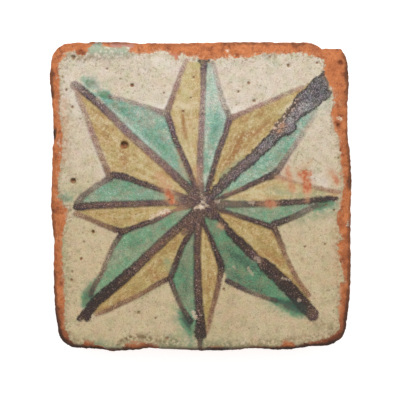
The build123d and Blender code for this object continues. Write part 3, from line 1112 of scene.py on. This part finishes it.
    # Green, pale and watery with darker pools, and runs past the lines
    def water_green(depth):
        fresh = shader.tinted(
            depth,
            (0.0, srgb(180, 199, 181)),
            (0.5, tone_and_light_by_height((112, 154, 118), (118, 168, 153))),
            (1.0, srgb(76, 131, 96)),
            (1.5, srgb(34, 80, 64)),
        )
        dull = shader.tinted(
            depth,
            (0.0, srgb(196, 197, 180)),
            (0.5, tone_and_light_by_height((140, 151, 121), (149, 162, 146))),
            (1.0, srgb(107, 124, 94)),
            (1.5, srgb(56, 72, 57)),
        )
        return mix(ramp(hue * 0.4 + tint * 0.6 + stored("pool") * 0.1, 0.4, 0.6), dull, fresh)

    unrest = (streaks - 0.5) * 0.5 + (mottle - 0.5) * 0.9 + (grain - 0.5) * 0.6 + (dust - 0.5) * 0.5
    unrest = unrest + (sand - 0.5) * 1.2
    wash = stored("wash") * ramp(mottle + grain, 0.7, 1.1)
    paint = mix(wash * 0.9, paint, tone_and_light_by_height((142, 154, 116), (158, 172, 144)))
    green_share = ramp(stored("green") + (grain - 0.5) * 1.4, 0.6, -0.8)
    ray_green = layered(
        water_green(stored("green_depth") + stored("pool") * 0.5 + unrest + 0.06),
        (stored("veil") * 0.7, srgb(206, 212, 200)),
        (freckles * ramp(grain, 0.4, 0.6) * (0.4 - 0.3 * height), srgb(176, 158, 132)),
    )
    paint = mix(green_share * 0.93, paint, ray_green)
    bleed = stored("bleed") + (mottle - 0.5) * 0.7 + (grain - 0.5) * 0.6 + (sand - 0.5) * 0.4
    paint = layered(
        paint,
        (ramp(bleed, 0.05, 0.9) * 0.93, water_green(bleed)),
        (stored("soot") * ramp(grain * 0.6 + mottle * 0.4, 0.38, 0.56), srgb(112, 86, 54)),
        (fine_specks * 0.3, srgb(96, 92, 70)),
    )
    paint = mix(0.1, paint, tinge, "OVERLAY")
    paint = mix(0.06 + 0.1 * green_share, paint, grit, "OVERLAY")

    # Manganese lines: mauve where thin, purple-brown where dense and black where thick, and tinted by the
    # colour that they close off
    ink = stored("line_ink") + (mottle - 0.5) * 0.6 + (grain - 0.5) * 0.5 + (dust - 0.5) * 0.5
    ink = ink + (sand - 0.5) * 1.2 - 0.02
    thickly = ramp(stored("line_ink"), 0.5, 0.9)
    middle = ramp(stored("line"), -0.3, -1.5)
    ink = ink + (0.65 - middle) * thickly * 0.14
    open_ink = ramp(stored("line_ink"), 1.15, 0.85)
    by_green = ramp(stored("green"), 1.6, 0.3)
    by_yellow = ramp(stored("yellow"), 1.6, 0.3)

    def brush_line(thin, dense, thick):
        return shader.tinted(ink, (0.25, thin), (0.64, dense), (1.0, thick))

    manganese = brush_line(
        tone_and_light_by_height((172, 145, 118), (184, 163, 152)),
        tone_and_light_by_height((119, 87, 71), (136, 113, 111)),
        tone_and_light_by_height((46, 34, 27), (62, 54, 54)),
    )
    brown = brush_line(
        tone_and_light_by_height((178, 142, 104), (186, 158, 138)),
        tone_and_light_by_height((128, 94, 66), (140, 110, 96)),
        tone_and_light_by_height((52, 39, 31), (66, 54, 48)),
    )
    grey_green = brush_line(
        tone_and_light_by_height((152, 144, 120), (174, 168, 152)),
        tone_and_light_by_height((106, 99, 80), (128, 120, 110)),
        tone_and_light_by_height((44, 42, 36), (58, 56, 52)),
    )
    manganese = layered(
        manganese,
        (by_yellow * (1 - by_green) * 0.9, brown),
        (by_green * (1 - by_yellow) * 0.7, grey_green),
        (ramp(hue, 0.5, 0.7) * ramp(ink, 1.0, 0.5) * 0.15, srgb(124, 98, 108)),
        (ramp(hue, 0.5, 0.3) * ramp(ink, 1.0, 0.5) * 0.15, srgb(120, 88, 60)),
        (ramp(mottle, 0.52, 0.64) * thickly * open_ink * 0.6, tone_and_light_by_height((78, 60, 68), (92, 80, 102))),
        (ramp(mottle, 0.46, 0.36) * thickly * open_ink * 0.55, tone_and_light_by_height((84, 70, 44), (100, 88, 60))),
    )
    broken_ink = (0.35 + 0.65 * open_ink) * (0.4 + 0.6 * middle)
    manganese = layered(
        manganese,
        (dark_flecks * thickly * 0.7, srgb(36, 29, 31)),
        (flecks * thickly * broken_ink * 0.9, tone_and_light_by_height((164, 136, 124), (188, 168, 162))),
        (ramp(sand, 0.54, 0.68) * thickly * broken_ink * 0.75, tone_and_light_by_height((146, 112, 100), (168, 140, 134))),
        (ramp(sand, 0.48, 0.34) * thickly * 0.75, srgb(34, 26, 27)),
        (edge_specks * ramp(ink, 0.4, 0.8) * 0.4, srgb(48, 40, 40)),
    )
    manganese = mix(0.15, manganese, tinge, "OVERLAY")
    manganese = mix(0.12 + 0.4 * thickly, manganese, grit, "OVERLAY")

    # The crusty line of the top right ray: slate grey, with black edges and pale beads along one of them
    crust = stored("crust")
    crusted = layered(
        mix(ramp(mottle, 0.4, 0.6), srgb(72, 64, 66), srgb(138, 129, 128)),
        (ramp(grain, 0.5, 0.36) * 0.7, srgb(46, 39, 41)),
        (ramp(grain, 0.54, 0.68) * 0.6, srgb(160, 152, 150)),
        (ramp(stored("line_ink"), 0.88, 1.0) * 0.35, srgb(84, 82, 90)),
        (stored("veil") * ramp(grain, 0.3, 0.5) * 0.75, srgb(190, 184, 180)),
        (ramp(sand, 0.53, 0.68) * 0.7, srgb(188, 178, 174)),
        (ramp(sand, 0.47, 0.32) * 0.7, srgb(40, 33, 35)),
    )
    crusted = mix(0.2, crusted, tinge, "OVERLAY")
    crusted = mix(0.3, crusted, grit, "OVERLAY")
    crusted = mix(ramp(crust + (grain - 0.5) * 2.0, -1.35, -0.35) * 0.9, crusted, srgb(36, 30, 31))
    up_the_line = ramp(across_face + up_face, CRUST_STARTS, CRUST_IS_FULL)
    crust_share = ramp(crust, 0.3, -0.3) * (0.3 + 0.6 * up_the_line)
    manganese = mix(crust_share, manganese, crusted)
    torn_line = (grain - 0.5) * 0.7 + (sand - 0.5) * (0.7 + 0.8 * thickly)
    torn_line = torn_line + (mottle - 0.5) * ramp(stored("line_ink"), 0.9, 1.05) * 1.4
    line_share = ramp(stored("line") + torn_line, 0.6, -0.6)
    paint = layered(
        paint,
        (line_share * ramp(ink, -0.1, 0.42), manganese),
        (line_share * ramp(bleed, 0.5, 1.0) * 0.6, srgb(46, 60, 51)),
        (line_share * wash * 0.6, srgb(112, 116, 94)),
    )
    beads = mix(ramp(hue, 0.4, 0.6), srgb(204, 174, 156), srgb(176, 158, 150))
    beads = mix(bead_specks, srgb(78, 61, 53), beads)
    paint = mix(ramp(stored("beads") + (grain - 0.5), 0.35, 0.65) * 0.85, paint, beads)

    # Peach stains, clay flakes, specks, and pits coloured as clay with painted shade on their upper walls
    # and in their depths
    paint = mix(stored("peach") * ramp(grain + dust * 0.5, 0.5, 0.85) * 0.9, paint, srgb(202, 150, 112))
    torn = (dust - 0.5) * 1.0 + (grain - 0.5) * 2.0 + (sand - 0.5) * 1.6
    flake = ramp(stored("flake") + torn, 0.6, -0.9) * stored("flake_ink")
    paint = mix(flake, paint, mix(ramp(hue, 0.4, 0.62), srgb(184, 98, 58), srgb(206, 144, 106)))
    paint = mix(specks * (0.6 - 0.3 * height), paint, srgb(112, 90, 66))
    pit = stored("pit") + (dust - 0.5) * 0.15
    # Painted shade in the pits: the upper wall dark, deeper pits darker, and the lower wall the lit clay
    pit_floor = mix(ramp(grain, 0.35, 0.65), srgb(150, 88, 52), srgb(186, 118, 76))
    pit_shade = ramp(stored("pit_side_for_shade") + (grain - 0.5) * 1.5, -0.1, 0.4)
    pit_colour_and_shade = mix(pit_shade, pit_floor, mix(ramp(pit, 0.3, 0.9), srgb(104, 66, 44), srgb(50, 35, 29)))
    pit_colour_and_shade = mix(ramp(pit, 0.25, 0.55), mix(pit_shade, srgb(146, 120, 86), srgb(94, 75, 52)), pit_colour_and_shade)
    paint = mix(ramp(pit, 0.05, 0.36) * 0.9, paint, pit_colour_and_shade)

    # Clay with pale and dark grains, paler towards the top partly as painted light, pale specks that are
    # partly painted glints, a pink band, dark red chips, and darker clay along the bottom that is partly
    # painted shade
    clay = layered(
        tone_and_light_by_height((184, 105, 57), (197, 116, 68)),
        (ramp(tint, 0.48, 0.7) * 0.6, srgb(206, 127, 80)),
        (ramp(tint, 0.5, 0.3) * 0.6, srgb(160, 90, 57)),
        (ramp(mottle, 0.5, 0.64) * 0.6, srgb(218, 136, 86)),
        (ramp(mottle, 0.46, 0.32) * 0.8, srgb(138, 72, 44)),
        (ramp(streaks, 0.42, 0.3) * 0.5, srgb(116, 62, 41)),
        (ramp(grain, 0.54, 0.72) * 0.45, srgb(216, 140, 96)),
        (ramp(grain, 0.46, 0.3) * 0.5, srgb(134, 75, 49)),
        (ramp(sand, 0.56, 0.72) * 0.4, srgb(220, 148, 106)),
        (ramp(sand, 0.44, 0.28) * 0.4, srgb(128, 70, 44)),
        (specks * 0.4, srgb(104, 62, 44)),
        # Pale specks: partly pale grit and partly painted glints
        (fine_specks * 0.3, srgb(226, 186, 156)),
        (ramp(worn, 1.4, 0.0) * ramp(hue, 0.4, 0.6) * 0.6, srgb(204, 156, 122)),
    )
    left_glaze = ramp(hue + sand * 0.5, 0.86, 0.98) * ramp(worn, 3.0, 0.4)
    clay = layered(
        clay,
        (left_glaze * 0.6, tone_and_light_by_height((196, 172, 138), (222, 200, 176))),
        (stored("pink"), mix(grain, srgb(172, 116, 108), srgb(200, 152, 146))),
        # Dark red clay, partly painted shade along the bottom edge
        (stored("dark_clay_and_shade") * ramp(grain, 0.25, 0.5), srgb(112, 60, 42)),
    )
    bare = ramp(worn, -0.4, 0.35)
    paint = mix(ramp(worn, -2.2, -0.2) * ramp(grain, 0.35, 0.6) * 0.55, paint, srgb(164, 138, 104))

    # Paint and bare clay, with chips down to the white of the glaze and a painted highlight among them, and
    # grime and painted shade along the rim
    chip_and_glint = ramp(stored("chip_and_glint") + (dust - 0.5) * 3.0, 0.4, -0.6) * stored("chip_ink")
    # Grime and painted shade: the rim seen from above and the sides just below the face darkened
    rim = stored("rim") + (mottle - 0.5) * 3.2 + (grain - 0.5) * 1.2 - stored("grime_and_shade") * 0.5
    colour = layered(
        mix(bare, paint, clay),
        (chip_and_glint, mix(ramp(grain, 0.4, 0.6), srgb(206, 176, 146), srgb(232, 214, 192))),
        (ramp(rim, 1.6, 0.1) * (0.1 + 0.9 * stored("grime_and_shade")), srgb(60, 42, 33)),
    )

    # Satin glaze, duller brush lines and matt clay
    dull = line_share.maths("MAXIMUM", line_share * 0.6, bare)
    roughness = (0.44 + 0.14 * mottle) + dull * 0.36
    relief = (dust * 0.5 + grain) * (0.25 + 0.75 * dull) - specks * 0.6
    bump = shader.node("ShaderNodeBump", sockets={"Strength": 0.35, "Distance": 0.3 * MM, "Height": relief})
    skin = shader.node(
        "ShaderNodeBsdfPrincipled",
        sockets={
            "Base Color": colour,
            "Roughness": roughness,
            "Normal": bump,
            "Specular IOR Level": 0.35,
        },
    )
    shader.node("ShaderNodeOutputMaterial", sockets={"Surface": skin})
    return material


# Studio: a pale floor, a soft lamp past the top of the tile, and even light all round
WHITE = (1.0, 1.0, 1.0, 1.0)
FLOOR_COLOUR = (0.85, 0.85, 0.85, 1.0)
FLOOR_SIZE = 4.0
FLOOR_DROP = 0.05 * MM
LAMP_PLACE = (0.0, 0.35, 0.39)
LAMP_SIZE = 0.3
LAMP_POWER = 1.4
ROUND_LIGHT = 0.6
FLOOR_GLOW = 0.62
CAMERA_LENS = 100
SENSOR_WIDTH = 36
CLIP_START = 0.01


def seen_directly(shader):
    """1 for rays from the camera, or by reflection or through glass, and 0 for light on the object."""
    kinds = ("Is Camera Ray", "Is Glossy Ray", "Is Transmission Ray")
    rays = [shader.node("ShaderNodeLightPath", output=kind) for kind in kinds]
    return rays[0].maths("MAXIMUM", rays[0].maths("MAXIMUM", rays[0], rays[1]), rays[2])


def lay_floor():
    """A white floor that keeps the tile's shadow."""
    bpy.ops.object.select_all(action="DESELECT")
    bpy.ops.mesh.primitive_plane_add(size=FLOOR_SIZE, location=(0, 0, -FLOOR_DROP))
    floor = bpy.context.object
    floor.name = "floor"
    material = bpy.data.materials.new("floor_white")
    shader = Shader(material)
    matt = shader.node("ShaderNodeBsdfDiffuse", sockets={"Color": FLOOR_COLOUR})
    level = seen_directly(shader) * FLOOR_GLOW
    glow = shader.node("ShaderNodeEmission", sockets={"Color": WHITE, "Strength": level})
    both = shader.node("ShaderNodeAddShader", sockets={0: matt, 1: glow})
    shader.node("ShaderNodeOutputMaterial", sockets={"Surface": both})
    floor.data.materials.append(material)
    floor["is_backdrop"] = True


def light_studio():
    """Even light from all round, and a soft lamp past the top of the tile."""
    world = bpy.data.worlds.new("studio")
    bpy.context.scene.world = world
    shader = Shader(world)
    level = ROUND_LIGHT + seen_directly(shader) * (1 - ROUND_LIGHT)
    sky = shader.node("ShaderNodeBackground", sockets={"Color": WHITE, "Strength": level})
    shader.node("ShaderNodeOutputWorld", sockets={"Surface": sky})
    bpy.ops.object.light_add(type="AREA", location=LAMP_PLACE)
    lamp = bpy.context.object
    lamp.name = "soft_lamp"
    lamp.data.size = LAMP_SIZE
    lamp.data.energy = LAMP_POWER
    aim = Vector((0, 0, face_height)) - Vector(LAMP_PLACE)
    lamp.rotation_euler = aim.to_track_quat("-Z", "Y").to_euler()


def set_camera():
    """A camera straight above, with the tile where the photograph has it."""
    middle = PHOTO_PIXELS / 2
    centre = on_tile([(middle, middle - READING_SLIP)])[0]
    distance = PHOTO_PIXELS * PIXEL / SENSOR_WIDTH * CAMERA_LENS
    bpy.ops.object.camera_add(location=(*centre, face_height + distance), rotation=(0, 0, 0))
    camera = bpy.context.object
    camera.name = "camera_above"
    camera.data.lens = CAMERA_LENS
    camera.data.sensor_width = SENSOR_WIDTH
    camera.data.clip_start = CLIP_START
    bpy.context.scene.camera = camera


painted_tile = even_skin(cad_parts["tile"])
tile_fields = paint_fields(painted_tile)
shape_relief(painted_tile, tile_fields)
store_fields(painted_tile, tile_fields)
only(painted_tile)
bpy.ops.object.shade_smooth()
painted_tile.data.materials.append(glazed_earthenware())
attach(painted_tile, "root")
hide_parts("tile")

lay_floor()
light_studio()
set_camera()
bpy.context.scene.view_settings.view_transform = "Standard"

visual_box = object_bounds()
boxes = {"cad": cad_box, "visual": visual_box}
{name: [list(corner) for corner in box] for name, box in boxes.items()}
triangles = sum(len(face.vertices) - 2 for face in painted_tile.data.polygons)
print("triangles in the tile:", triangles)
